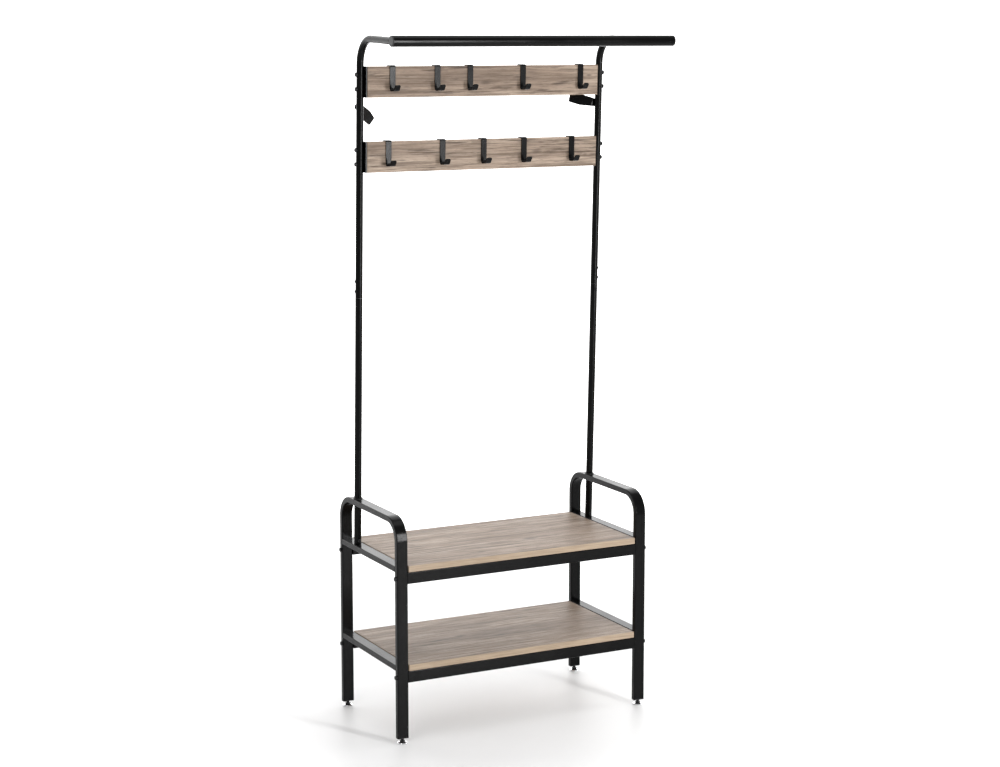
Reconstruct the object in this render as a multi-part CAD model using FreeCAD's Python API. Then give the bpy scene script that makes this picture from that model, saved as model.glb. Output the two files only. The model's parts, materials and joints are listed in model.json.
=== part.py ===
"""Hall tree with hooks: a two-shelf steel bench, two uprights, two hook boards and a clothes bar.

Millimetres, +Z up. X runs along the bench, -Y is the front. Pieces are drawn about the bench's
middle, then moved along X so that the origin is the bottom centre of the whole object's box.
The uprights and all they carry are drawn plumb, with Z measured from the seat's side rail,
and then leaned forward together about the uprights' feet.
"""
import FreeCAD, Part
import math
import os

Vector = FreeCAD.Vector
X_AXIS = Vector(1, 0, 0)
Y_AXIS = Vector(0, 1, 0)
Z_AXIS = Vector(0, 0, 1)
SIDES = {"left": -1, "right": 1}

# Bench frame: rectangular tube bent to an upside-down U at each end
BENCH_WIDTH = 720.0
BENCH_DEPTH = 360.0
ARM_TOP = 578.0
LEG_WIDE = 30.0
LEG_THICK = 15.0
TUBE_CORNER = 2.3
TUBE_WALL = 1.5
BEND_OUTER = 60.0
LEG_END = 17.0
LEG_X = BENCH_WIDTH / 2 - LEG_WIDE / 2
LEG_Y = BENCH_DEPTH / 2 - LEG_THICK / 2
INNER_X = BENCH_WIDTH / 2 - LEG_WIDE

# Boards of the bench and the rails under them
LEVELS = {"seat": 458.0, "shelf": 204.0}
BOARD_THICK = 16.0
BOARD_GAP = 2.5
BOARD_FRONT = -BENCH_DEPTH / 2
BOARD_BACK = 170.0
RAIL_TALL = 30.0
RAIL_DEEP = 20.0
RAIL_Y = BENCH_DEPTH / 2 - RAIL_DEEP / 2
END_PLATE = 3.0
SCREW_X = 220.0
SCREW_ACCESS_R = 5.0

# M6 bolts and nuts
M6_R = 2.95
M6_TAP_R = 3.0
M6_HOLE_R = 3.3
M6_HEAD_R = 5.5
M6_HEAD = 4.0
M6_KEY = 4.0
NUT_FLATS = 10.0
NUT_TALL = 5.0

# Wood screws
WOOD_R = 1.95
WOOD_HOLE_R = 2.05
WOOD_HEAD_R = 3.6
WOOD_HEAD = 2.2

# Levelling feet
PLUG_FLANGE = 2.0
PLUG_TALL = 25.0
PLUG_PLAY = 0.2
STUD_R = 4.0
STUD_HOLE_R = 4.08
STUD_TOP = 45.0
PAD_R = 13.0
PAD_TALL = 6.2
STUD_HEX_FLATS = 13.0

# Uprights
LEAN = 2.0
UPRIGHT_Y = 97.0
UPRIGHT_R = 9.5
UPRIGHT_WALL = 1.2
UPRIGHT_IN = UPRIGHT_R - UPRIGHT_WALL
UPRIGHT_LIFT = 0.4
JOINT_Z = 646.6
JOINT_GAP = 0.4
SLEEVE_R = 8.2
SLEEVE_WALL = 1.2
SLEEVE_HALF = 60.0
JOINT_SCREWS = (16.6, 42.6)
SPIGOT_R = 7.2
SPIGOT_TALL = 24.0
BASE_SCREW_Z = 10.0
# M5 screws, for the uprights' feet and the straps
M5_R = 2.4
M5_TAP_R = 2.45
M5_HOLE_R = 2.7
M5_HEAD_R = 4.2
M5_HEAD = 2.4
M5_KEY = 2.5

# Grommets in the bench arms
GROMMET_BORE_R = 9.8
GROMMET_OUT_R = 10.5
GROMMET_FLANGE_R = 12.0
GROMMET_RISE = 2.5
ARM_HOLE_R = 10.7

# Arms and clothes bar
ARM_Z = 1303.0
ARM_BEND = 65.0
BAR_Y = -205.0
BAR_R = 14.0
BAR_WALL = 1.5
BAR_LEFT = -354.5
BAR_LENGTH = 800.0
BAR_RIGHT = BAR_LEFT + BAR_LENGTH
CAP_THICK = 3.0
CAP_PLUG = 12.0
STUB_LENGTH = 50.0
STUB_WALL = 1.7
STUB_SCREW_Y = BAR_Y + 45.0

# Hook boards and their end brackets
HOOK_BOARD_Z = {"upper": 1194.0, "lower": 1005.5}
HOOK_BOARD_TALL = 78.0
HOOK_BOARD_HALF = 331.5
HOOK_BOARD_BACK = -1.0
HOOK_BOARD_FRONT = HOOK_BOARD_BACK - BOARD_THICK
BRACKET_OUT = LEG_X - UPRIGHT_R
BRACKET_PLATE = 3.0
BRACKET_BACK = 8.0
TAB_THICK = 2.0
TAB_LENGTH = 30.0
TAB_SCREW_X = 317.0
BRACKET_BOLT_DZ = 18.0

# Strip hooks: their middles along each board
HOOK_X = {
    "upper": (-263.7, -138.3, -45.3, 107.5, 278.4),
    "lower": (-273.3, -121.7, -3.6, 113.9, 256.3),
}
HOOK_WIDE = 15.0
HOOK_THICK = 2.5
HOOK_PLAY = 0.5
HOOK_REAR = 24.0
HOOK_DROP = 63.0
HOOK_RUN = 24.0
HOOK_RUN_ANGLE = 6.0
HOOK_LIP = 17.0
HOOK_LIP_ANGLE = 54.0
HOOK_TOP_BEND = 2.8
HOOK_LOW_BEND = 7.5
HOOK_LIP_BEND = 6.0
HOOK_TIP_CORNER = 4.0

# Straps screwed to the uprights' backs
STRAP_Z = 1131.0
STRAP_THICK = 2.5
STRAP_PLAY = 0.3
STRAP_ROOT_R = 9.5
STRAP_WIDE = 29.0
STRAP_WIDEST_AT = 40.0
STRAP_TIP_WIDE = 24.0
STRAP_STRAIGHT = 14.0
STRAP_INWARD = 66.0
STRAP_BACK = 32.0
STRAP_BEND = 12.0
STRAP_TIP_CORNER = 3.0
STRAP_SWIVEL = {"left": -38.0, "right": 12.0}

# The origin is midway between the left frame bolts' heads and the right end of the bar
X_CENTRE = (BAR_RIGHT - BENCH_WIDTH / 2 - M6_HEAD) / 2


def box(x, y, z):
    """A box from (low, high) pairs."""
    size = [pair[1] - pair[0] for pair in (x, y, z)]
    return Part.makeBox(*size, Vector(x[0], y[0], z[0]))


def rod(start, direction, radius, length):
    """A solid cylinder from a point along a direction."""
    return Part.makeCylinder(radius, length, start, direction)


def pipe(start, direction, radius, inner, length):
    """A round tube from a point along a direction."""
    return rod(start, direction, radius, length).cut(rod(start, direction, inner, length))


def hexagon(start, direction, flats, height):
    """A hexagonal prism from a point along a direction, measured across its flats."""
    corner = flats / math.sqrt(3)
    points = [Vector(corner * math.cos(math.radians(a)), corner * math.sin(math.radians(a)), 0)
              for a in range(0, 361, 60)]
    prism = Part.Face(Part.makePolygon(points)).extrude(Vector(0, 0, height))
    prism.Placement = FreeCAD.Placement(start, FreeCAD.Rotation(Z_AXIS, direction))
    return prism


def rounded_rectangle(width, depth, corner):
    """A closed wire about the origin in the XY plane."""
    face = Part.makePlane(width, depth, Vector(-width / 2, -depth / 2, 0))
    slab = face.extrude(Z_AXIS)
    upright_edges = [e for e in slab.Edges if abs(e.tangentAt(e.FirstParameter).z) > 0.9]
    slab = slab.makeFillet(corner, upright_edges)
    bottom = min(slab.Faces, key=lambda f: f.CenterOfMass.z)
    return bottom.OuterWire


def rounded_path(points, radii):
    """A wire of straight runs through the points, with a tangent arc at each inner point."""
    edges = []
    start = points[0]
    for before, corner, after, radius in zip(points, points[1:], points[2:], radii):
        back = (before - corner).normalize()
        onward = (after - corner).normalize()
        half = back.getAngle(onward) / 2
        run = radius / math.tan(half)
        middle = (back + onward).normalize()
        arc_from = corner + back * run
        arc_to = corner + onward * run
        arc_mid = corner + middle * (radius / math.sin(half) - radius)
        edges.append(Part.makeLine(start, arc_from))
        edges.append(Part.Arc(arc_from, arc_mid, arc_to).toShape())
        start = arc_to
    edges.append(Part.makeLine(start, points[-1]))
    return Part.Wire(edges)


def sweep(path, profile):
    """A solid swept along a path of tangent runs."""
    return path.makePipeShell([profile], True, False)


def group(solids):
    """Several separate solids that share one node."""
    return Part.makeCompound(solids)


def mirror(shape):
    """The same piece on the other side of the bench's middle."""
    return shape.mirror(Vector(0, 0, 0), X_AXIS)


def on_side(shape, side):
    """A piece drawn for the right side, kept or mirrored to the left."""
    return shape if side > 0 else mirror(shape)


def lean(shape):
    """Move a plumb piece of the upright assembly to its leaning place on the bench."""
    placed = shape.copy()
    placed.rotate(Vector(0, 0, 0), X_AXIS, LEAN)
    placed.translate(Vector(0, UPRIGHT_Y, LEVELS["seat"]))
    return placed


def cap_screw(start, inward, shank_r, length, head_r, head, key):
    """A round-headed screw with a hexagon socket; start is under the head."""
    outward = inward * -1
    top = Part.makeCylinder(head_r, head, start, outward)
    rim = max(top.Edges, key=lambda e: (e.CenterOfMass - start).dot(outward))
    top = top.makeFillet(head * 0.3, [rim])
    socket = hexagon(start + outward * (head * 0.4), outward, key, head)
    return top.cut(socket).fuse(rod(start, inward, shank_r, length)).removeSplitter()


def wood_screw(start, inward, length):
    """A small domed screw; start is under the head."""
    return cap_screw(start, inward, WOOD_R, length, WOOD_HEAD_R, WOOD_HEAD, 2.5)


# Bench

def leg_path():
    """Middle line of the bent tube: front leg, arm, back leg."""
    top = ARM_TOP - LEG_THICK / 2
    points = [
        Vector(LEG_X, -LEG_Y, LEG_END),
        Vector(LEG_X, -LEG_Y, top),
        Vector(LEG_X, LEG_Y, top),
        Vector(LEG_X, LEG_Y, LEG_END),
    ]
    radius = BEND_OUTER - LEG_THICK / 2
    return rounded_path(points, [radius, radius])


def bolt_places():
    """Middles of the frame bolts on the right side: (y, z) pairs."""
    return [(y, top - BOARD_THICK - RAIL_TALL / 2) for top in LEVELS.values() for y in (-LEG_Y, LEG_Y)]


def side_frame(side):
    path = leg_path()
    outer = rounded_rectangle(LEG_WIDE, LEG_THICK, TUBE_CORNER)
    inner = rounded_rectangle(LEG_WIDE - 2 * TUBE_WALL, LEG_THICK - 2 * TUBE_WALL, TUBE_CORNER - TUBE_WALL)
    for wire in (outer, inner):
        wire.translate(Vector(LEG_X, -LEG_Y, LEG_END))
    frame = sweep(path, outer).cut(sweep(path, inner))
    for y, z in bolt_places():
        frame = frame.cut(rod(Vector(INNER_X - 1, y, z), X_AXIS, M6_HOLE_R, LEG_WIDE + 2))
    arm_hole = rod(Vector(LEG_X, 0, 80), Z_AXIS, ARM_HOLE_R, 80)
    return on_side(frame.cut(lean(arm_hole)), side)


def side_rail(level, side):
    """Flat tube welded between a side's legs, flush with the board's top."""
    length = 2 * (LEG_Y - LEG_THICK / 2)
    shell = []
    for inset in (0, TUBE_WALL):
        wire = rounded_rectangle(LEG_WIDE - 2 * inset, LEG_THICK - 2 * inset, TUBE_CORNER - inset)
        wire.rotate(Vector(0, 0, 0), X_AXIS, 90)
        wire.translate(Vector(LEG_X, -length / 2, LEVELS[level] - LEG_THICK / 2))
        shell.append(Part.Face(wire).extrude(Vector(0, length, 0)))
    return on_side(shell[0].cut(shell[1]), side)


def long_rail(level, row):
    """Tube under a board's front (row -1) or back (row 1) edge, with welded end plates."""
    top = LEVELS[level] - BOARD_THICK
    centre_y = row * RAIL_Y
    tube_half = INNER_X - END_PLATE
    shell = []
    for inset in (0, TUBE_WALL):
        wire = rounded_rectangle(RAIL_TALL - 2 * inset, RAIL_DEEP - 2 * inset, TUBE_CORNER - inset)
        wire.rotate(Vector(0, 0, 0), Y_AXIS, 90)
        wire.translate(Vector(-tube_half, centre_y, top - RAIL_TALL / 2))
        shell.append(Part.Face(wire).extrude(Vector(2 * tube_half, 0, 0)))
    rail = shell[0].cut(shell[1])
    plate_wire = rounded_rectangle(RAIL_TALL, RAIL_DEEP, TUBE_CORNER)
    plate_wire.rotate(Vector(0, 0, 0), Y_AXIS, 90)
    for start in (-INNER_X, tube_half):
        plate = Part.Face(plate_wire).extrude(Vector(END_PLATE, 0, 0))
        plate.translate(Vector(start, centre_y, top - RAIL_TALL / 2))
        rail = rail.fuse(plate)
    bolt_z = top - RAIL_TALL / 2
    for start in (-INNER_X - 1, tube_half - 1):
        rail = rail.cut(rod(Vector(start, row * LEG_Y, bolt_z), X_AXIS, M6_HOLE_R, END_PLATE + 2))
    for x in (-SCREW_X, SCREW_X):
        rail = rail.cut(rod(Vector(x, centre_y, top - 2), Z_AXIS, WOOD_HOLE_R, 3))
        rail = rail.cut(rod(Vector(x, centre_y, top - RAIL_TALL - 1), Z_AXIS, SCREW_ACCESS_R, 3))
    return rail.removeSplitter()


def board(level):
    top = LEVELS[level]
    half = INNER_X - BOARD_GAP
    slab = box((-half, half), (BOARD_FRONT, BOARD_BACK), (top - BOARD_THICK, top))
    slab = slab.makeFillet(0.8, slab.Edges)
    for x in (-SCREW_X, SCREW_X):
        for y in (-RAIL_Y, RAIL_Y):
            slab = slab.cut(rod(Vector(x, y, top - BOARD_THICK - 1), Z_AXIS, WOOD_HOLE_R, 14))
    return slab


def frame_bolts():
    length = LEG_WIDE + END_PLATE + NUT_TALL + 2
    start_x = BENCH_WIDTH / 2
    right = [cap_screw(Vector(start_x, y, z), X_AXIS * -1, M6_R, length, M6_HEAD_R, M6_HEAD, M6_KEY)
             for y, z in bolt_places()]
    return group(right + [mirror(bolt) for bolt in right])


def rail_weld_nuts():
    start_x = INNER_X - END_PLATE
    right = []
    for y, z in bolt_places():
        start = Vector(start_x, y, z)
        nut = hexagon(start, X_AXIS * -1, NUT_FLATS, NUT_TALL)
        right.append(nut.cut(rod(start, X_AXIS * -1, M6_TAP_R, NUT_TALL)))
    return group(right + [mirror(nut) for nut in right])


def board_fixing_screws():
    screws = []
    for top in LEVELS.values():
        for x in (-SCREW_X, SCREW_X):
            for y in (-RAIL_Y, RAIL_Y):
                start = Vector(x, y, top - BOARD_THICK - TUBE_WALL)
                screws.append(wood_screw(start, Z_AXIS, 14))
    return group(screws)


def foot_places():
    """Names and middles of the four feet."""
    return {f"{row}_{name}": Vector(side * LEG_X, y, 0)
            for name, side in SIDES.items() for row, y in (("front", -LEG_Y), ("back", LEG_Y))}


def leg_plugs():
    plugs = []
    for foot in foot_places().values():
        flange = Part.Face(rounded_rectangle(LEG_WIDE, LEG_THICK, TUBE_CORNER))
        inside = TUBE_WALL + PLUG_PLAY
        body = Part.Face(rounded_rectangle(LEG_WIDE - 2 * inside, LEG_THICK - 2 * inside, 0.6))
        flange.translate(foot + Vector(0, 0, LEG_END - PLUG_FLANGE))
        body.translate(foot + Vector(0, 0, LEG_END))
        plug = flange.extrude(Vector(0, 0, PLUG_FLANGE)).fuse(body.extrude(Vector(0, 0, PLUG_TALL)))
        plugs.append(plug.cut(rod(foot, Z_AXIS, STUD_HOLE_R, LEG_END + PLUG_TALL)))
    return group(plugs)


def foot_pad(foot):
    """Round chrome pad with a pocket that holds the stud's foot."""
    outline = [(0, 0), (12.2, 0), (PAD_R, 0.8), (PAD_R, 3.4), (12.0, 4.8), (7.5, PAD_TALL), (0, PAD_TALL)]
    points = [Vector(r, 0, z) for r, z in outline + outline[:1]]
    pad = Part.Face(Part.makePolygon(points)).revolve(Vector(0, 0, 0), Z_AXIS, 360)
    pad = pad.cut(rod(Vector(0, 0, 1.5), Z_AXIS, 5.6, 2.8)).cut(rod(Vector(0, 0, 4), Z_AXIS, 4.1, 4))
    pad.translate(foot)
    return pad


def foot_stud(foot):
    """Threaded stud with a foot inside the pad and a hexagon to turn it by."""
    stud = rod(Vector(0, 0, 1.8), Z_AXIS, 5.2, 2.2)
    stud = stud.fuse(rod(Vector(0, 0, 1.8), Z_AXIS, STUD_R, STUD_TOP - 1.8))
    stud = stud.fuse(hexagon(Vector(0, 0, PAD_TALL + 0.4), Z_AXIS, STUD_HEX_FLATS, 2.4)).removeSplitter()
    stud.translate(foot)
    return stud


# Uprights

def lower_tube(side):
    length = JOINT_Z - JOINT_GAP / 2 - UPRIGHT_LIFT
    tube = pipe(Vector(LEG_X, 0, UPRIGHT_LIFT), Z_AXIS, UPRIGHT_R, UPRIGHT_IN, length)
    tube = tube.cut(rod(Vector(LEG_X, 0, BASE_SCREW_Z), Y_AXIS * -1, M5_HOLE_R, UPRIGHT_R + 1))
    return on_side(lean(tube), side)


def upper_tube(side):
    """Straight tube bent forward into the arm, its end hollowed to fit round the bar."""
    start = Vector(LEG_X, 0, JOINT_Z + JOINT_GAP / 2)
    path = rounded_path([start, Vector(LEG_X, 0, ARM_Z), Vector(LEG_X, BAR_Y, ARM_Z)], [ARM_BEND])
    walls = [Part.Wire(Part.makeCircle(radius, start, Z_AXIS)) for radius in (UPRIGHT_R, UPRIGHT_IN)]
    tube = sweep(path, walls[0]).cut(sweep(path, walls[1]))
    tube = tube.cut(rod(Vector(LEG_X - 20, BAR_Y, ARM_Z), X_AXIS, BAR_R + 0.2, 40))
    bolt_heights = [z + dz for z in HOOK_BOARD_Z.values() for dz in (-BRACKET_BOLT_DZ, BRACKET_BOLT_DZ)]
    for z in bolt_heights:
        tube = tube.cut(rod(Vector(LEG_X - 10, 0, z), X_AXIS, M6_HOLE_R, 20))
    tube = tube.cut(rod(Vector(LEG_X, 0, STRAP_Z), Y_AXIS, M5_TAP_R, 10))
    for dz in JOINT_SCREWS:
        tube = tube.cut(rod(Vector(LEG_X, 0, JOINT_Z + dz), X_AXIS, WOOD_HOLE_R, 10))
    tube = tube.cut(rod(Vector(LEG_X, STUB_SCREW_Y, ARM_Z), Z_AXIS * -1, M5_HOLE_R, 10))
    return on_side(lean(tube), side)


def tube_sleeves():
    sleeve = pipe(Vector(LEG_X, 0, JOINT_Z - SLEEVE_HALF), Z_AXIS, SLEEVE_R, SLEEVE_R - SLEEVE_WALL,
                  2 * SLEEVE_HALF)
    for dz in JOINT_SCREWS:
        sleeve = sleeve.cut(rod(Vector(LEG_X, 0, JOINT_Z + dz), X_AXIS, WOOD_HOLE_R, 10))
    sleeve = lean(sleeve)
    return group([sleeve, mirror(sleeve)])


def sleeve_screws():
    right = [lean(wood_screw(Vector(LEG_X + UPRIGHT_R, 0, JOINT_Z + dz), X_AXIS * -1, 6))
             for dz in JOINT_SCREWS]
    return group(right + [mirror(screw) for screw in right])


def upright_spigots():
    """Plumb pins welded on the seat's side rails, inside the uprights' feet."""
    spigot = rod(Vector(LEG_X, UPRIGHT_Y, LEVELS["seat"]), Z_AXIS, SPIGOT_R, SPIGOT_TALL)
    spigot = spigot.cut(lean(rod(Vector(LEG_X, 0, BASE_SCREW_Z), Y_AXIS * -1, M5_TAP_R, 10)))
    return group([spigot, mirror(spigot)])


def upright_base_screws():
    start = Vector(LEG_X, -UPRIGHT_R, BASE_SCREW_Z)
    screw = lean(cap_screw(start, Y_AXIS, M5_R, 9, M5_HEAD_R, M5_HEAD, M5_KEY))
    return group([screw, mirror(screw)])


def arm_grommets():
    """Plastic bushes in the bench arms, each with a flange that lies on the arm."""
    middle = (ARM_TOP - LEVELS["seat"]) / math.cos(math.radians(LEAN))
    top = middle + GROMMET_RISE
    bottom = middle - LEG_THICK - 1.5
    flange = lean(rod(Vector(LEG_X, 0, middle - 4), Z_AXIS, GROMMET_FLANGE_R, top - middle + 4))
    below = box((LEG_X - 20, LEG_X + 20), (0, 180), (ARM_TOP - 20, ARM_TOP))
    bush = lean(rod(Vector(LEG_X, 0, bottom), Z_AXIS, GROMMET_OUT_R, top - bottom))
    bore = lean(rod(Vector(LEG_X, 0, bottom - 1), Z_AXIS, GROMMET_BORE_R, top - bottom + 2))
    grommet = flange.cut(below).fuse(bush).cut(bore).removeSplitter()
    return group([grommet, mirror(grommet)])


# Hook boards

def hook_board(row):
    middle = HOOK_BOARD_Z[row]
    slab = box((-HOOK_BOARD_HALF, HOOK_BOARD_HALF), (HOOK_BOARD_FRONT, HOOK_BOARD_BACK),
               (middle - HOOK_BOARD_TALL / 2, middle + HOOK_BOARD_TALL / 2))
    slab = slab.makeFillet(0.8, slab.Edges)
    for x in (-TAB_SCREW_X, TAB_SCREW_X):
        for dz in (-BRACKET_BOLT_DZ, BRACKET_BOLT_DZ):
            start = Vector(x, HOOK_BOARD_BACK + 1, middle + dz)
            slab = slab.cut(rod(start, Y_AXIS * -1, WOOD_HOLE_R, 13))
    return lean(slab)


def board_bracket(row, side):
    """Plate on the upright's inner side, with a tab behind the board."""
    middle = HOOK_BOARD_Z[row]
    height = (middle - HOOK_BOARD_TALL / 2, middle + HOOK_BOARD_TALL / 2)
    inner = BRACKET_OUT - BRACKET_PLATE
    plate = box((inner, BRACKET_OUT), (HOOK_BOARD_FRONT, BRACKET_BACK), height)
    tab_back = HOOK_BOARD_BACK + TAB_THICK
    tab = box((inner - TAB_LENGTH, inner), (HOOK_BOARD_BACK, tab_back), height)
    bracket = plate.fuse(tab)
    for dz in (-BRACKET_BOLT_DZ, BRACKET_BOLT_DZ):
        bracket = bracket.cut(rod(Vector(inner - 1, 0, middle + dz), X_AXIS, M6_TAP_R, BRACKET_PLATE + 2))
        start = Vector(TAB_SCREW_X, HOOK_BOARD_BACK - 1, middle + dz)
        bracket = bracket.cut(rod(start, Y_AXIS, WOOD_HOLE_R, TAB_THICK + 2))
    return on_side(lean(bracket.removeSplitter()), side)


def board_bolts():
    length = 2 * UPRIGHT_R + BRACKET_PLATE + 0.4
    right = []
    for middle in HOOK_BOARD_Z.values():
        for dz in (-BRACKET_BOLT_DZ, BRACKET_BOLT_DZ):
            start = Vector(LEG_X + UPRIGHT_R, 0, middle + dz)
            right.append(lean(cap_screw(start, X_AXIS * -1, M6_R, length, M6_HEAD_R, M6_HEAD, M6_KEY)))
    return group(right + [mirror(bolt) for bolt in right])


def bracket_screws():
    right = []
    for middle in HOOK_BOARD_Z.values():
        for dz in (-BRACKET_BOLT_DZ, BRACKET_BOLT_DZ):
            start = Vector(TAB_SCREW_X, HOOK_BOARD_BACK + TAB_THICK, middle + dz)
            right.append(lean(wood_screw(start, Y_AXIS * -1, 12)))
    return group(right + [mirror(screw) for screw in right])


def toward_front(degrees, length):
    """A step forward and up at an angle above the horizon."""
    angle = math.radians(degrees)
    return Vector(0, -length * math.cos(angle), length * math.sin(angle))


def hook(row, x):
    """Flat strip hung over the board's top, bent forward at its foot and up again at its lip."""
    top = HOOK_BOARD_Z[row] + HOOK_BOARD_TALL / 2
    half = HOOK_THICK / 2
    rear_y = HOOK_BOARD_BACK + HOOK_PLAY + half
    front_y = HOOK_BOARD_FRONT - HOOK_PLAY - half
    crest_z = top + HOOK_PLAY + half
    start = Vector(x, rear_y, top - HOOK_REAR)
    foot = Vector(x, front_y, top - HOOK_DROP + half)
    lip = foot + toward_front(HOOK_RUN_ANGLE, HOOK_RUN)
    tip = lip + toward_front(HOOK_LIP_ANGLE, HOOK_LIP)
    points = [start, Vector(x, rear_y, crest_z), Vector(x, front_y, crest_z), foot, lip, tip]
    path = rounded_path(points, [HOOK_TOP_BEND, HOOK_TOP_BEND, HOOK_LOW_BEND, HOOK_LIP_BEND])
    profile = Part.makePolygon([start + Vector(dx * HOOK_WIDE / 2, dy * half, 0)
                                for dx, dy in ((-1, -1), (1, -1), (1, 1), (-1, 1), (-1, -1))])
    strip = sweep(path, profile)
    corners = [e for e in strip.Edges
               if e.Length < HOOK_THICK * 1.1 and (e.CenterOfMass - tip).Length < HOOK_WIDE * 0.6]
    return lean(strip.makeFillet(HOOK_TIP_CORNER, corners))


# Clothes bar

def bar_line(x):
    return Vector(x, BAR_Y, ARM_Z)


def hanging_bar():
    start = bar_line(BAR_LEFT + CAP_THICK)
    return lean(pipe(start, X_AXIS, BAR_R, BAR_R - BAR_WALL, BAR_LENGTH - 2 * CAP_THICK))


def bar_end_caps():
    caps = []
    for end, inward in ((BAR_LEFT, X_AXIS), (BAR_RIGHT, X_AXIS * -1)):
        disc = rod(bar_line(end), inward, BAR_R, CAP_THICK)
        rim = min(disc.Edges, key=lambda e: abs(e.CenterOfMass.x - end) if e.Length > BAR_R else BAR_LENGTH)
        disc = disc.makeFillet(CAP_THICK * 0.6, [rim])
        inner = BAR_R - BAR_WALL - 0.1
        plug = pipe(bar_line(end) + inward * CAP_THICK, inward, inner, inner - 1.5, CAP_PLUG)
        caps.append(lean(disc.fuse(plug).removeSplitter()))
    return group(caps)


def bar_sockets():
    """Stubs welded on the bar's back, inside the ends of the arms."""
    start = Vector(LEG_X, BAR_Y, ARM_Z)
    length = BAR_R + STUB_LENGTH
    stub = pipe(start, Y_AXIS, SLEEVE_R, SLEEVE_R - STUB_WALL, length)
    stub = stub.cut(rod(bar_line(LEG_X - 20), X_AXIS, BAR_R, 40))
    stub = lean(stub.cut(rod(Vector(LEG_X, STUB_SCREW_Y, ARM_Z), Z_AXIS * -1, M5_TAP_R, 10)))
    return group([stub, mirror(stub)])


def bar_screws():
    """Socket grub screws that lock the arms on the stubs, flush with the arms' undersides."""
    start = Vector(LEG_X, STUB_SCREW_Y, ARM_Z - UPRIGHT_R)
    grub = rod(start, Z_AXIS, M5_R, 5).cut(hexagon(start, Z_AXIS, M5_KEY, 2))
    grub = lean(grub)
    return group([grub, mirror(grub)])


# Straps

def strap_place(side):
    """Where a strap's screw meets the back of the upright, before the lean."""
    return Vector(side * LEG_X, UPRIGHT_R, STRAP_Z)


def wall_strap(side_name):
    """Leaf-shaped flat strap behind the upright: a round root, a bend backward, a squarer tip."""
    back = strap_place(1)
    start = back + Vector(STRAP_ROOT_R, STRAP_PLAY + STRAP_THICK / 2, 0)
    bend = start - Vector(STRAP_ROOT_R + STRAP_STRAIGHT, 0, 0)
    tip = start - Vector(STRAP_ROOT_R + STRAP_INWARD, -STRAP_BACK, 0)
    path = rounded_path([start, bend, tip], [STRAP_BEND])
    half, wide = STRAP_THICK / 2, STRAP_WIDE / 2
    profile = Part.makePolygon([start + Vector(0, dy * half, dz * wide)
                                for dy, dz in ((-1, -1), (1, -1), (1, 1), (-1, 1), (-1, -1))])
    strip = sweep(path, profile)
    tip_x = -STRAP_INWARD
    tip_z = STRAP_TIP_WIDE / 2
    front_view = [(0, -STRAP_ROOT_R), (-STRAP_WIDEST_AT, -wide), (tip_x + STRAP_TIP_CORNER, -tip_z),
                  (tip_x, -tip_z + STRAP_TIP_CORNER), (tip_x, tip_z - STRAP_TIP_CORNER),
                  (tip_x + STRAP_TIP_CORNER, tip_z), (-STRAP_WIDEST_AT, wide), (0, STRAP_ROOT_R)]
    outline = Part.makePolygon([back + Vector(x, 0, z) for x, z in front_view])
    root = Part.Arc(back + Vector(0, 0, STRAP_ROOT_R), back + Vector(STRAP_ROOT_R, 0, 0),
                    back + Vector(0, 0, -STRAP_ROOT_R)).toShape()
    face = Part.Face(Part.Wire(outline.Edges + [root]))
    strap = strip.common(face.extrude(Vector(0, STRAP_BACK + 10, 0)))
    strap = strap.cut(rod(back, Y_AXIS, M5_TAP_R, 10))
    strap.rotate(back, Y_AXIS, STRAP_SWIVEL[side_name])
    return on_side(lean(strap), SIDES[side_name])


def wall_strap_screws():
    start = strap_place(1) + Vector(0, 2 * STRAP_PLAY + STRAP_THICK, 0)
    screw = lean(cap_screw(start, Y_AXIS * -1, M5_R, 8, M5_HEAD_R, M5_HEAD, M5_KEY))
    return group([screw, mirror(screw)])


def all_pieces():
    """Every node's name and shape, about the bench's middle."""
    pieces = {}
    for name, side in SIDES.items():
        pieces[f"side_frame_{name}"] = side_frame(side)
        for level in LEVELS:
            pieces[f"{level}_side_rail_{name}"] = side_rail(level, side)
        pieces[f"lower_tube_{name}"] = lower_tube(side)
        pieces[f"upper_tube_{name}"] = upper_tube(side)
        pieces[f"wall_strap_{name}"] = wall_strap(name)
        for row in HOOK_BOARD_Z:
            pieces[f"board_bracket_{row}_{name}"] = board_bracket(row, side)
    for level in LEVELS:
        pieces[f"{level}_front_rail"] = long_rail(level, -1)
        pieces[f"{level}_back_rail"] = long_rail(level, 1)
        pieces[f"{level}_board"] = board(level)
    for name, foot in foot_places().items():
        pieces[f"foot_pad_{name}"] = foot_pad(foot)
        pieces[f"foot_stud_{name}"] = foot_stud(foot)
    for row in HOOK_BOARD_Z:
        pieces[f"hook_board_{row}"] = hook_board(row)
        for number, x in enumerate(HOOK_X[row], start=1):
            pieces[f"hook_{row}_{number}"] = hook(row, x)
    for make in (frame_bolts, rail_weld_nuts, board_fixing_screws, leg_plugs, tube_sleeves, sleeve_screws,
                 upright_spigots, upright_base_screws, arm_grommets, board_bolts, bracket_screws,
                 hanging_bar, bar_end_caps, bar_sockets, bar_screws, wall_strap_screws):
        pieces[make.__name__] = make()
    return pieces


def main():
    os.makedirs("parts", exist_ok=True)
    for name, shape in all_pieces().items():
        shape.translate(Vector(-X_CENTRE, 0, 0))
        print(f"{name}: {len(shape.Solids)} solid(s), valid {shape.isValid()}, {shape.Volume:.0f} mm3")
        shape.exportStep(f"parts/{name}.step")


main()
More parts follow.
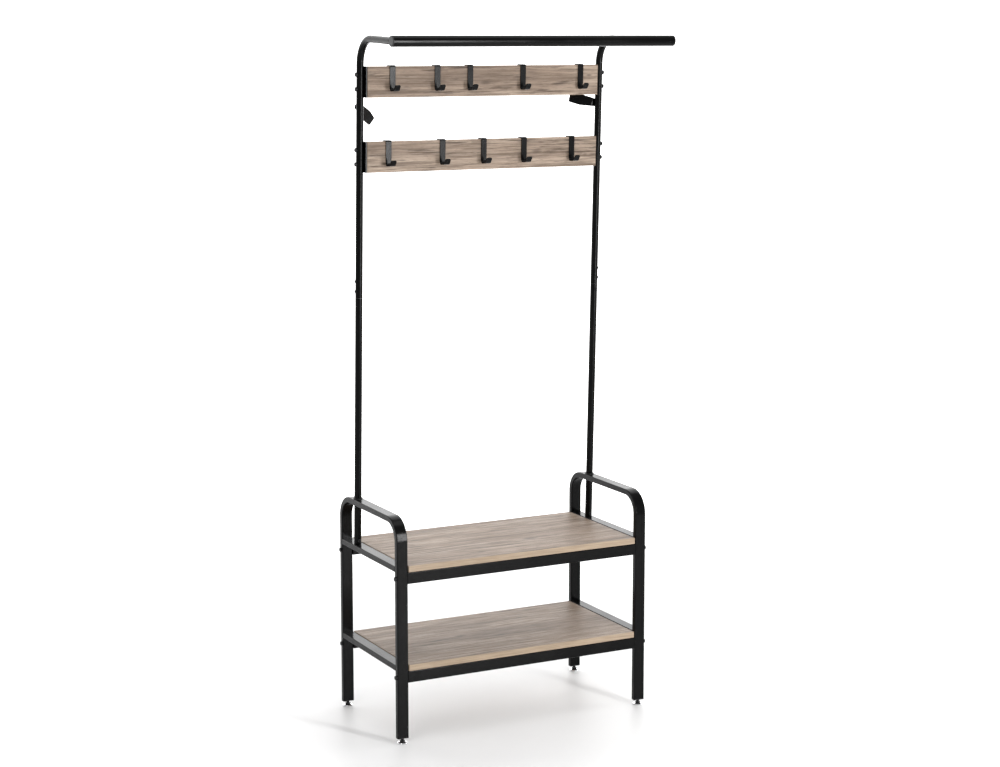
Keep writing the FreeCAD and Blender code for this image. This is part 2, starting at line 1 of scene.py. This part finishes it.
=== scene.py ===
"""Hall tree with hooks: materials, small details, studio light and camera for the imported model.

Metres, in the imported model's own frame. Every place comes from the frame's nodes.
"""
import json
import math
import bpy
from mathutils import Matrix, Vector


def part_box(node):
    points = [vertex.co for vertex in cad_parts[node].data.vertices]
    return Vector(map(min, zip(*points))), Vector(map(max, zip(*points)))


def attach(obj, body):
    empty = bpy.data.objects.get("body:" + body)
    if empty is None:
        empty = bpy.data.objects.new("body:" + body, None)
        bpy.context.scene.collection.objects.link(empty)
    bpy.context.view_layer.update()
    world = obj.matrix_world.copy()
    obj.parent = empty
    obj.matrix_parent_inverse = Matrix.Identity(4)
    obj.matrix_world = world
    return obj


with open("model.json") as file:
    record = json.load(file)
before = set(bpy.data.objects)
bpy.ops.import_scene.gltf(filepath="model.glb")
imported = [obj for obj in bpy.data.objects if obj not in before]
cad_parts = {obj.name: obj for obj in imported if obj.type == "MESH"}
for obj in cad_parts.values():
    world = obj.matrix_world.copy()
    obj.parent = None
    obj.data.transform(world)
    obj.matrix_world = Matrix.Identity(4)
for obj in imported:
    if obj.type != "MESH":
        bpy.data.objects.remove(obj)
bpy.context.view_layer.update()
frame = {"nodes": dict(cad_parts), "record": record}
NODES = frame["nodes"]
MM = 0.001

# Camera: to the left of the front and a little above, with a long lens
CAMERA_PLACE = (-2.5446, -4.8743, 1.7710)
CAMERA_YAW = math.radians(27.387)
CAMERA_PITCH = math.radians(8.014)
CAMERA_LENS = 76.668
CAMERA_SHIFT_Y = -0.05
CAMERA_SENSOR = 36

# Brightness of the surroundings, and of the backdrop's own glow at its far end: painted light, an
# emission standing in for studio lamps on the backdrop
SURROUNDINGS = 0.42
BACKDROP_GLOW = 1.5
GLOW_START = 0.2
GLOW_END = 4.5

# Power of the area lights, in watts, and the heights they are aimed at
KEY_POWER = 36
FILL_POWER = 26
TOP_POWER = 36
STRIP_POWER = 62
OBJECT_MIDDLE = 0.9
STRIP_HEIGHT = 1.25

# Laminate colours, linear
OAK_LIGHT = (0.420, 0.327, 0.252, 1)
OAK_MID = (0.275, 0.200, 0.147, 1)
OAK_DARK = (0.135, 0.094, 0.066, 1)
OAK_STREAK = (0.055, 0.036, 0.025, 1)
EDGE_BAND = (0.430, 0.330, 0.232, 1)

# Both coats reflect less than clear plastic
COAT_IOR = 1.21
LAMINATE_IOR = 1.36

# Wood figure: how far it bends round a knot, by how much, and how much it wavers elsewhere
KNOT_REACH = 3.2
KNOT_SWELL = 3.0
FIGURE_WAVER = 26.0

# A board's polygon is one of its two faces, not its rim, when its normal is this near the axis
FACE_ON = 0.8


# Materials

class Shader:
    """A material's node tree with short calls to add and join nodes."""

    def __init__(self, name, color, roughness, metallic=0.0):
        self.material = bpy.data.materials.new(name)
        self.material.use_nodes = True
        self.nodes = self.material.node_tree.nodes
        self.links = self.material.node_tree.links
        self.surface = self.nodes["Principled BSDF"]
        self.surface.inputs["Base Color"].default_value = color
        self.surface.inputs["Roughness"].default_value = roughness
        self.surface.inputs["Metallic"].default_value = metallic
        self.place = self.nodes.new("ShaderNodeTexCoord").outputs["Object"]

    def join(self, source, target):
        self.links.new(source, target)

    def feed(self, node, values):
        """Set a node's inputs: a socket is joined, anything else is a value."""
        for key, value in values.items():
            socket = node.inputs[key]
            if isinstance(value, bpy.types.NodeSocket):
                self.join(value, socket)
            else:
                socket.default_value = value

    def scaled(self, scale, offset=(0, 0, 0)):
        """Object coordinates, moved and stretched."""
        node = self.nodes.new("ShaderNodeMapping")
        self.feed(node, {"Vector": self.place, "Scale": scale, "Location": offset})
        return node.outputs["Vector"]

    def noise(self, vector, scale=1.0, detail=3.0, roughness=0.5, distortion=0.0):
        node = self.nodes.new("ShaderNodeTexNoise")
        self.feed(node, {"Vector": vector, "Scale": scale, "Detail": detail,
                         "Roughness": roughness, "Distortion": distortion})
        return node.outputs["Fac"]

    def math(self, operation, a, b=0.0):
        node = self.nodes.new("ShaderNodeMath")
        node.operation = operation
        self.feed(node, {0: a, 1: b})
        return node.outputs["Value"]

    def remap(self, value, low, high, to_low=0.0, to_high=1.0):
        node = self.nodes.new("ShaderNodeMapRange")
        node.interpolation_type = "SMOOTHSTEP"
        self.feed(node, {"Value": value, "From Min": low, "From Max": high,
                         "To Min": to_low, "To Max": to_high})
        return node.outputs["Result"]

    def mix(self, factor, a, b, blend="MIX"):
        node = self.nodes.new("ShaderNodeMix")
        node.data_type = "RGBA"
        node.blend_type = blend
        self.feed(node, {0: factor, 6: a, 7: b})
        return node.outputs[2]

    def bump(self, height, depth, strength=1.0):
        node = self.nodes.new("ShaderNodeBump")
        self.feed(node, {"Height": height, "Distance": depth, "Strength": strength})
        self.join(node.outputs["Normal"], self.surface.inputs["Normal"])

    def separate(self, vector):
        node = self.nodes.new("ShaderNodeSeparateXYZ")
        self.join(vector, node.inputs[0])
        return node.outputs


def powder_coat(name, tone, roughness):
    """Black powder coat: orange-peel bump, uneven gloss and slightly dustier patches."""
    base = (tone, tone, tone * 1.04, 1)
    dusty = (tone * 1.7, tone * 1.65, tone * 1.6, 1)
    shader = Shader(name, base, roughness)
    shader.surface.inputs["IOR"].default_value = COAT_IOR
    peel = shader.noise(shader.place, scale=900, detail=2)
    slow = shader.noise(shader.place, scale=9, detail=4, roughness=0.6)
    dust = shader.remap(slow, 0.45, 0.75)
    shader.join(shader.mix(dust, base, dusty), shader.surface.inputs["Base Color"])
    gloss = shader.remap(slow, 0.3, 0.7, roughness - 0.04, roughness + 0.06)
    shader.join(gloss, shader.surface.inputs["Roughness"])
    shader.bump(peel, 0.00005, 0.5)
    return shader.material


def knot(shader, centre, size):
    """A soft oval mask round a knot, long along the grain."""
    node = shader.nodes.new("ShaderNodeVectorMath")
    node.operation = "DISTANCE"
    stretched = shader.scaled((1 / size[0], 1 / size[1], 1 / size[2]))
    shader.join(stretched, node.inputs[0])
    node.inputs[1].default_value = tuple(c / s for c, s in zip(centre, size))
    return node.outputs["Value"]


def oak_laminate(name, seed, knots):
    """Greyish oak print with grain along X: bands, wavy figure, fibres, cracks, pores and knots."""
    shader = Shader(name, OAK_MID, 0.5)
    shader.surface.inputs["IOR"].default_value = LAMINATE_IOR
    shift = (seed * 3.7, seed * 1.3, seed * 2.1)
    warp = shader.noise(shader.scaled((2.2, 9, 9), shift), detail=3)
    across = shader.separate(shader.scaled((1, 95, 95), shift))
    height = shader.math("ADD", across[1], across[2])
    for centre, size in knots:
        around = knot(shader, centre, [s * KNOT_REACH for s in size])
        swell = shader.remap(around, 0.0, 1.0, KNOT_SWELL, 0.0)
        height = shader.math("ADD", height, swell)
    waver = shader.math("MULTIPLY", warp, FIGURE_WAVER)
    figure = shader.math("SINE", shader.math("ADD", height, waver))
    bands = shader.noise(shader.scaled((1.3, 17, 17), shift), detail=4, roughness=0.65)
    fibres = shader.noise(shader.scaled((13, 300, 300), shift), detail=5, roughness=0.7)
    streaks = shader.noise(shader.scaled((2.4, 120, 120), shift), detail=5, roughness=0.65,
                           distortion=0.3)
    cracks = shader.noise(shader.scaled((9, 170, 170), shift), detail=4, roughness=0.65)
    pores = shader.noise(shader.scaled((60, 1300, 1300), shift), detail=2)

    color = shader.mix(shader.remap(bands, 0.36, 0.62), OAK_LIGHT, OAK_MID)
    color = shader.mix(shader.remap(figure, -0.2, 1.0, 0.0, 0.38), color, OAK_DARK)
    color = shader.mix(shader.remap(streaks, 0.49, 0.64, 0.0, 0.8), color, OAK_DARK)
    color = shader.mix(shader.remap(streaks, 0.32, 0.46, 0.5, 0.0), color, OAK_LIGHT)
    color = shader.mix(shader.remap(fibres, 0.42, 0.66, 0.0, 0.7), color, OAK_DARK)
    color = shader.mix(shader.remap(cracks, 0.54, 0.68, 0.0, 0.85), color, OAK_STREAK)
    color = shader.mix(shader.remap(pores, 0.58, 0.70, 0.0, 0.45), color, OAK_STREAK)
    for centre, size in knots:
        around = knot(shader, centre, size)
        rough_edge = shader.math("ADD", around, shader.math("MULTIPLY", fibres, 0.9))
        color = shader.mix(shader.remap(rough_edge, 0.6, 1.5, 0.6, 0.0), color, OAK_STREAK)
    shader.join(color, shader.surface.inputs["Base Color"])
    shader.join(shader.remap(fibres, 0.3, 0.7, 0.44, 0.60), shader.surface.inputs["Roughness"])
    relief = shader.math("ADD", fibres, shader.math("MULTIPLY", cracks, -0.8))
    shader.bump(relief, 0.00022, 0.55)
    return shader.material


def edge_band(name, seed):
    """The paler strip glued on a board's edges, with its own short grain and a rubbed rim."""
    shader = Shader(name, EDGE_BAND, 0.55)
    shader.surface.inputs["IOR"].default_value = LAMINATE_IOR
    shift = (seed * 1.9, seed * 0.7, seed * 1.1)
    fibres = shader.noise(shader.scaled((12, 600, 600), shift), detail=4, roughness=0.6)
    slow = shader.noise(shader.scaled((3, 20, 20), shift), detail=3)
    color = shader.mix(shader.remap(fibres, 0.3, 0.7, 0.0, 0.5), EDGE_BAND, OAK_DARK)
    color = shader.mix(shader.remap(slow, 0.35, 0.7, 0.0, 0.4), color, OAK_LIGHT)
    shader.join(color, shader.surface.inputs["Base Color"])
    shader.bump(fibres, 0.00012, 0.4)
    return shader.material


def chrome(name):
    """Polished chrome with faint turning rings and cloudy patches."""
    shader = Shader(name, (0.78, 0.78, 0.79, 1), 0.1, 1.0)
    cloud = shader.noise(shader.scaled((1, 1, 1)), scale=120, detail=3)
    shader.join(shader.remap(cloud, 0.3, 0.7, 0.06, 0.2), shader.surface.inputs["Roughness"])
    rings = shader.noise(shader.scaled((1, 1, 60)), scale=60, detail=1)
    shader.bump(rings, 0.00003, 0.4)
    return shader.material


def zinc(name):
    """Zinc-plated steel with a mottled grey spangle."""
    shader = Shader(name, (0.5, 0.5, 0.51, 1), 0.35, 1.0)
    mottle = shader.noise(shader.scaled((1, 1, 1)), scale=260, detail=3)
    color = shader.mix(shader.remap(mottle, 0.35, 0.65), (0.42, 0.42, 0.43, 1), (0.6, 0.6, 0.6, 1))
    shader.join(color, shader.surface.inputs["Base Color"])
    shader.join(shader.remap(mottle, 0.3, 0.7, 0.26, 0.42), shader.surface.inputs["Roughness"])
    shader.bump(mottle, 0.00004, 0.5)
    return shader.material


def black_plastic(name):
    """Moulded black plastic with a fine spark-eroded grain."""
    shader = Shader(name, (0.006, 0.006, 0.0065, 1), 0.5)
    grain = shader.noise(shader.scaled((1, 1, 1)), scale=1700, detail=2)
    shader.join(shader.remap(grain, 0.3, 0.7, 0.42, 0.6), shader.surface.inputs["Roughness"])
    shader.bump(grain, 0.00008, 0.7)
    return shader.material


def black_oxide(name):
    """Blackened steel screws: dark, a little metallic, rubbed brighter in spots."""
    shader = Shader(name, (0.012, 0.012, 0.013, 1), 0.36, 0.6)
    rub = shader.noise(shader.scaled((1, 1, 1)), scale=400, detail=4, roughness=0.7)
    color = shader.mix(shader.remap(rub, 0.55, 0.8), (0.01, 0.01, 0.011, 1), (0.06, 0.06, 0.06, 1))
    shader.join(color, shader.surface.inputs["Base Color"])
    shader.bump(rub, 0.00004, 0.5)
    return shader.material


def board_knots(node, places):
    """Knots at fractions of a board's length and width, long along the grain."""
    low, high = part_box(node)
    made = []
    for along, across, length in places:
        centre = [low[0] + (high[0] - low[0]) * along,
                  low[1] + (high[1] - low[1]) * (across if node.endswith("_board") else 0),
                  low[2] + (high[2] - low[2]) * (1 if node.endswith("_board") else across)]
        made.append((centre, (length, length * 0.4, length * 0.4)))
    return made


def paint_board(node, seed, knots, face_axis):
    """Printed oak on the board's two faces and edge band round its rim."""
    board = NODES[node]
    board.data.materials.clear()
    board.data.materials.append(oak_laminate(f"{node}_oak", seed, board_knots(node, knots)))
    board.data.materials.append(edge_band(f"{node}_edge", seed))
    for face in board.data.polygons:
        face.material_index = 0 if abs(face.normal[face_axis]) > FACE_ON else 1


def paint_slots():
    """Give every other CAD node the material of its slot."""
    made = {
        "black_powder_coat": powder_coat("black_powder_coat", 0.002, 0.20),
        "hook_black": powder_coat("hook_black", 0.0025, 0.24),
        "black_oxide": black_oxide("black_oxide"),
        "foot_chrome": chrome("foot_chrome"),
        "zinc_steel": zinc("zinc_steel"),
        "black_plastic": black_plastic("black_plastic"),
    }
    for entry in frame["record"]["subparts"]:
        material = made.get(entry["material_slot"])
        if material:
            node = NODES[entry["node"]]
            node.data.materials.clear()
            node.data.materials.append(material)
    return made


# Small details that ride on the frame's bodies

def tube_curve(name, points, radius, closed, material, body):
    """A round bead along points, on a body."""
    data = bpy.data.curves.new(name, "CURVE")
    data.dimensions = "3D"
    data.bevel_depth = radius
    data.bevel_resolution = 2
    spline = data.splines.new("POLY")
    spline.points.add(len(points) - 1)
    for point, place in zip(spline.points, points):
        point.co = (*place, 1)
    spline.use_cyclic_u = closed
    piece = bpy.data.objects.new(name, data)
    bpy.context.scene.collection.objects.link(piece)
    data.materials.append(material)
    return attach(piece, body)


def rail_welds(paint):
    """Weld beads where the side rails meet the legs' inner faces."""
    bead, ripple, inset = 0.9 * MM, 0.25 * MM, 2.0 * MM
    steps = 18
    for side in ("left", "right"):
        for level in ("seat", "shelf"):
            low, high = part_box(f"{level}_side_rail_{side}")
            for end, y in (("front", low.y), ("back", high.y)):
                xs = (low.x + inset, high.x - inset)
                points = []
                for z, order in ((high.z, 1), (low.z, -1)):
                    along = [xs[0] + (xs[1] - xs[0]) * i / steps for i in range(steps + 1)]
                    points += [(x, y, z + ripple * math.sin(i * 2.4))
                               for i, x in enumerate(along[::order])]
                tube_curve(f"weld_{level}_{side}_{end}", points, bead, True, paint, "frame")


def stud_threads(paint):
    """The visible thread of each foot's stud, between its hexagon and the leg."""
    pitch, core, crest = 1.25 * MM, 3.82 * MM, 0.22 * MM
    steps = 20
    for row in ("front", "back"):
        for side in ("left", "right"):
            node = f"foot_stud_{row}_{side}"
            low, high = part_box(node)
            middle = (low + high) / 2
            bottom = 9.2 * MM
            turns = int((high.z - bottom) / pitch)
            points = []
            for i in range(turns * steps):
                angle = 2 * math.pi * i / steps
                points.append((middle.x + core * math.cos(angle), middle.y + core * math.sin(angle),
                               bottom + pitch * i / steps))
            tube_curve(f"thread_{row}_{side}", points, crest, False, paint, node)


# Stage

def make_floor():
    """Pale floor that runs into a pale backdrop, with painted light: an emission glow that grows
    toward the back and also lights the object.
    """
    shader = Shader("floor_pale", (0.86, 0.86, 0.86, 1), 0.45)
    depth = shader.separate(shader.place)[1]
    # Painted light: the floor and backdrop emit light, more toward the back, though they are no
    # lamp
    shader.surface.inputs["Emission Color"].default_value = (1, 1, 1, 1)
    glow = shader.remap(depth, GLOW_START, GLOW_END, 0.0, BACKDROP_GLOW)
    shader.join(glow, shader.surface.inputs["Emission Strength"])
    data = bpy.data.meshes.new("floor")
    front, back, rise, side = 9.0, 5.0, 9.0, 20.0
    curve = 1.5
    steps = 12
    profile = [(-front, 0.0), (back - curve, 0.0)]
    profile += [(back - curve + curve * math.sin(a), curve - curve * math.cos(a))
                for a in [math.pi / 2 * i / steps for i in range(1, steps + 1)]]
    profile.append((back, rise))
    points = [(x, y, z) for y, z in profile for x in (-side, side)]
    faces = [(2 * i, 2 * i + 1, 2 * i + 3, 2 * i + 2) for i in range(len(profile) - 1)]
    data.from_pydata(points, [], faces)
    for face in data.polygons:
        face.use_smooth = True
    floor = bpy.data.objects.new("floor", data)
    floor.rotation_euler = (0, 0, -CAMERA_YAW)
    floor.data.materials.append(shader.material)
    bpy.context.scene.collection.objects.link(floor)


def softbox(name, place, target, size, power):
    """A rectangular area light aimed at a point."""
    data = bpy.data.lights.new(name, "AREA")
    data.shape = "RECTANGLE"
    data.size, data.size_y = size
    data.energy = power
    light = bpy.data.objects.new(name, data)
    light.location = place
    light.rotation_euler = (Vector(target) - Vector(place)).to_track_quat("-Z", "Y").to_euler()
    bpy.context.scene.collection.objects.link(light)


def make_surroundings():
    """Even pale light from all round, which is also what the far view shows past the floor."""
    world = bpy.data.worlds.new("studio")
    world.use_nodes = True
    background = world.node_tree.nodes["Background"]
    background.inputs["Color"].default_value = (1, 1, 1, 1)
    background.inputs["Strength"].default_value = SURROUNDINGS
    bpy.context.scene.world = world


def make_light():
    """A large softbox on each side and above, and a tall narrow strip at the front right."""
    middle = (0, 0, OBJECT_MIDDLE)
    softbox("key", (-3.2, -2.6, 3.0), middle, (1.6, 2.2), KEY_POWER)
    softbox("fill", (3.9, -1.2, 2.2), middle, (1.2, 2.2), FILL_POWER)
    softbox("top", (0.2, -0.4, 4.2), middle, (3.0, 2.0), TOP_POWER)
    level = (0, 0, STRIP_HEIGHT)
    softbox("strip", (0.95, -2.9, STRIP_HEIGHT), level, (0.24, 1.8), STRIP_POWER)


def make_camera():
    data = bpy.data.cameras.new("camera")
    data.lens = CAMERA_LENS
    data.sensor_width = CAMERA_SENSOR
    data.shift_y = CAMERA_SHIFT_Y
    camera = bpy.data.objects.new("camera", data)
    camera.location = CAMERA_PLACE
    camera.rotation_euler = (math.pi / 2 - CAMERA_PITCH, 0, -CAMERA_YAW)
    bpy.context.scene.collection.objects.link(camera)
    bpy.context.scene.camera = camera
    bpy.context.scene.view_settings.view_transform = "Standard"


make_camera()
make_floor()
make_surroundings()
make_light()
paints = paint_slots()
paint_board("seat_board", 1.0, [(0.62, 0.35, 0.03), (0.2, 0.7, 0.018)], 2)
paint_board("shelf_board", 2.3, [(0.35, 0.5, 0.025)], 2)
paint_board("hook_board_upper", 3.1, [(0.5, 0.45, 0.02), (0.96, 0.65, 0.012)], 1)
paint_board("hook_board_lower", 4.6, [(0.73, 0.55, 0.02), (0.95, 0.4, 0.01)], 1)
rail_welds(paints["black_powder_coat"])
stud_threads(paints["black_oxide"])
